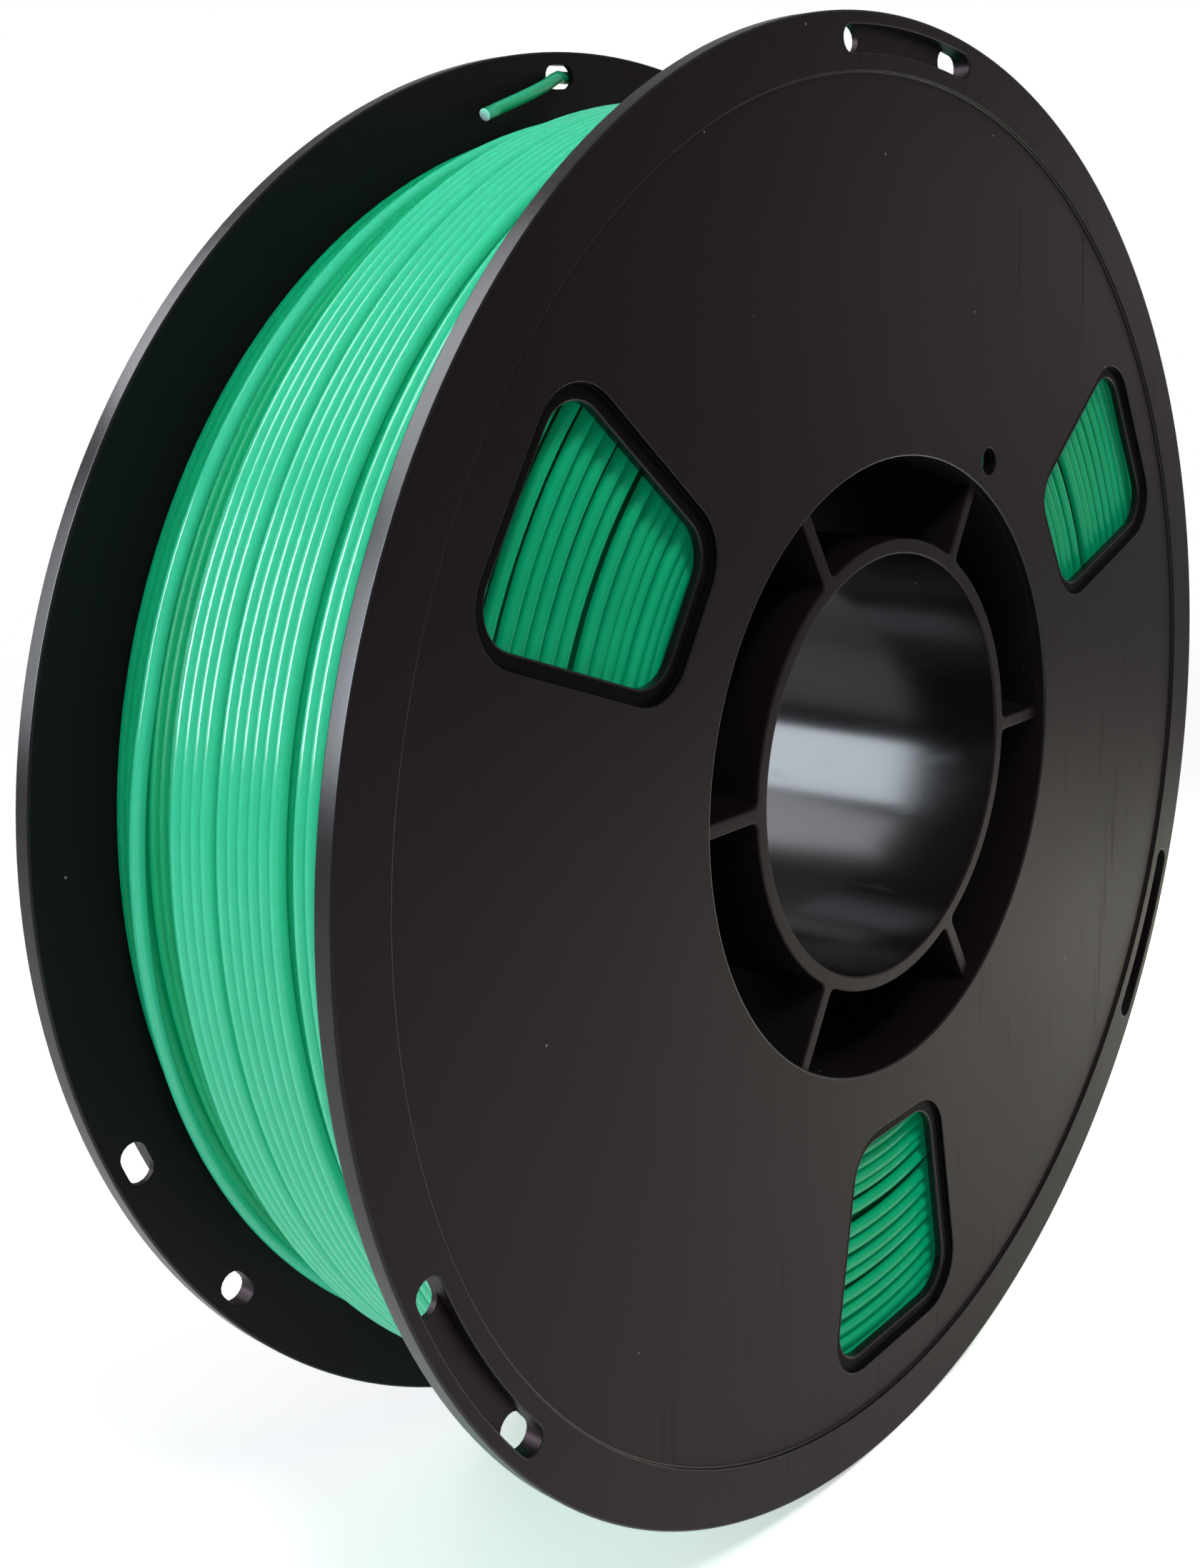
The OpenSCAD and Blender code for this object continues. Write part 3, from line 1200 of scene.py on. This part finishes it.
@dataclass(frozen=True)
class SoftLight:
    """A rectangular area light that faces a point. Places and sizes are in metres."""

    name: str
    place: Point3
    wide: float
    high: float
    power: float
    colour: Colour
    reach: Reach = Reach.BOTH
    towards: Point3 = (0.0, 0.0, 0.0)
    spread: float = 180.0

    def build(self) -> None:
        """Make the light."""
        data = bpy.data.lights.new(self.name, "AREA")
        data.shape = "RECTANGLE"
        data.size, data.size_y = self.wide, self.high
        data.energy = self.power
        data.color = self.colour
        data.spread = math.radians(self.spread)
        obj = linked(self.name, data)
        obj.location = self.place
        aim = Vector(self.towards) - Vector(self.place)
        obj.rotation_euler = aim.to_track_quat("-Z", "Y").to_euler()
        obj.visible_diffuse = self.reach is not Reach.SHINE
        obj.visible_glossy = self.reach is not Reach.FILL


@dataclass
class Studio:
    """The pale floor, the soft lights and the surroundings, which only the camera sees white."""

    floor: float = -100.0
    floor_half: float = 3.0
    floor_fade: Point2 = (0.22, 0.75)
    floor_tone: Point2 = (0.86, 0.88)
    floor_lift: float = 0.42
    lights: tuple[SoftLight, ...] = (
        SoftLight("window_left", (-1.3, 0.88, 0.5), 0.6, 0.9, 30.0, (0.82, 0.91, 1.0), Reach.SHINE),
        SoftLight("window_beyond", (-0.97, 1.31, 0.3), 0.5, 0.7, 3.2, (0.9, 0.94, 1.0),
                  Reach.SHINE),
        SoftLight("sky_left", (-1.4, 0.2, 0.7), 1.3, 1.3, 12.5, (0.96, 0.98, 1.0), Reach.FILL),
        SoftLight("window_behind", (-0.62, 1.02, 1.04), 0.7, 0.7, 5.2, (0.88, 0.94, 1.0)),
        SoftLight("beyond_glint", (-0.5, 1.04, 1.05), 1.0, 0.7, 6.5, (0.93, 0.94, 1.0),
                  Reach.SHINE),
        SoftLight("overhead", (-0.3, -0.5, 0.85), 0.25, 0.25, 0.35, (1.0, 0.98, 0.95), Reach.FILL,
                  towards=(-0.02, -0.03, 0.04), spread=40.0),
        SoftLight("floor_wash", (0.36, -0.06, 0.08), 0.12, 0.06, 0.52, (0.96, 1.0, 0.76),
                  Reach.FILL, towards=(0.2, -0.09, -0.1), spread=110.0),
        SoftLight("room_right", (1.3, -0.55, 0.12), 0.8, 0.4, 0.5, (1.0, 0.93, 0.86)),
    )
    world: Colour = (0.96, 0.95, 1.0)
    world_strength: float = 0.33
    dark_side: Point3 = (0.62, -0.78, -0.05)
    dark_edge: Point2 = (0.87, 0.99)
    dark_share: float = 0.25
    backdrop_strength: float = 1.0

    def build(self) -> None:
        """Make the floor, the lights and the world."""
        self.ground()
        for light in self.lights:
            light.build()
        world = bpy.data.worlds.new("studio")
        world.use_nodes = True
        n = Nodes(world.node_tree)
        seen = n.add("ShaderNodeLightPath").outputs["Is Camera Ray"]
        ways = {0: n.add("ShaderNodeTexCoord").outputs["Generated"], 1: self.dark_side}
        facing = n.add("ShaderNodeVectorMath", ways, operation="DOT_PRODUCT").outputs["Value"]
        bright, dark = self.world_strength, self.world_strength * self.dark_share
        dim = n.ramp(facing, *self.dark_edge, bright, dark)
        n.fill(world.node_tree.nodes["Background"], {
            0: n.mix(seen, (*self.world, 1), (1, 1, 1, 1)),
            1: n.math("MULTIPLY_ADD", seen, n.math("SUBTRACT", self.backdrop_strength, dim), dim),
        })
        bpy.context.scene.world = world
        bpy.context.scene.view_settings.view_transform = "Standard"

    def ground(self) -> None:
        """Make a wide floor that fades into the backdrop."""
        material, n, shader = new_material("pale_floor")
        where = n.add("ShaderNodeTexCoord").outputs["Object"]
        far = n.add("ShaderNodeVectorMath", {0: where}, operation="LENGTH").outputs["Value"]
        seen = n.add("ShaderNodeLightPath").outputs["Is Camera Ray"]
        n.fill(shader, {
            "Base Color": n.grey(n.ramp(n.noise(where, 6.0, 2.0), 0.3, 0.7, *self.floor_tone)),
            "Alpha": n.ramp(far, *self.floor_fade, 1.0, 0.0),
            "Roughness": 0.6,
            "Emission Color": n.grey(n.math("MULTIPLY", seen, self.floor_lift)),
            "Emission Strength": 1.0,
        })
        mesh = bmesh.new()
        bmesh.ops.create_grid(mesh, x_segments=8, y_segments=8, size=self.floor_half)
        bmesh.ops.translate(mesh, verts=mesh.verts, vec=(0, 0, self.floor * MM))
        obj = new_object("floor", mesh, material, body=None)


def main() -> None:
    """Build the scene piece by piece."""
    logging.basicConfig(level=logging.INFO, format="%(name)s: %(message)s")
    ViewPoint().build()
    # Each finish's glow is painted light: emission in the strand's own colour stands in for light
    # passing through the filament.
    strands = (
        GreenStrand("green_strand"),
        # Painted shade: a darker, less shiny copy of the strand for the layer that lies in the
        # shade under the outer rows.
        GreenStrand("green_under_painted_shade", base=(0.002, 0.25, 0.11), deep=(0.002, 0.215, 0.088),
                    roughness=0.4, specular=0.2, painted_glow=0.3),
        GreenStrand("green_inner", base=(0.002, 0.33, 0.15), deep=(0.002, 0.28, 0.125),
                    subsurface=0.4, depth=0.001, specular=0.25, painted_glow=0.17),
        # Painted shade: a near-black green for the inside of the winding, so the gaps between the
        # side turns look shaded.
        GreenStrand("green_body_painted_shade", base=(0.001, 0.1, 0.045), deep=(0.001, 0.07, 0.03),
                    subsurface=0.0, specular=0.1, painted_glow=0.0),
        GreenStrand("green_end", base=(0.02, 0.42, 0.22), deep=(0.01, 0.3, 0.15),
                    subsurface=0.4, painted_glow=0.0),
        GreenStrand("pale_cut", base=(0.35, 0.75, 0.6), deep=(0.2, 0.6, 0.45),
                    roughness=0.5, painted_glow=0.0),
    )
    blacks = (
        MouldedBlack("black_moulding"),
        MouldedBlack("black_rim", roughness=0.2, specular=0.36, bump=0.05, painted_sheen_tint=(1, 1, 1)),
        # Painted shade: a darker, barely reflecting copy of the black plastic for the sunk window
        # borders.
        MouldedBlack("black_recess_painted_shade", base=(0.002, 0.002, 0.0022), specular=0.05),
        MouldedBlack("black_bore", roughness=0.13, specular=0.35, bump=0.03, painted_sheen_tint=(1, 1, 1)),
    )
    *wound, end, cut = [finish.build() for finish in strands]
    *moulded, bore = [finish.build() for finish in blacks]
    pieces = [ParkedEnd().build(end, cut)]
    pieces += [Flange().build(side, moulded) for side in Side]
    pieces += [Hub().build(moulded[0], bore), *Winding().build(wound)]
    for piece in pieces:
        log.info("made %s", piece.name)
    Studio().build()


if __name__ == "__main__":
    main()
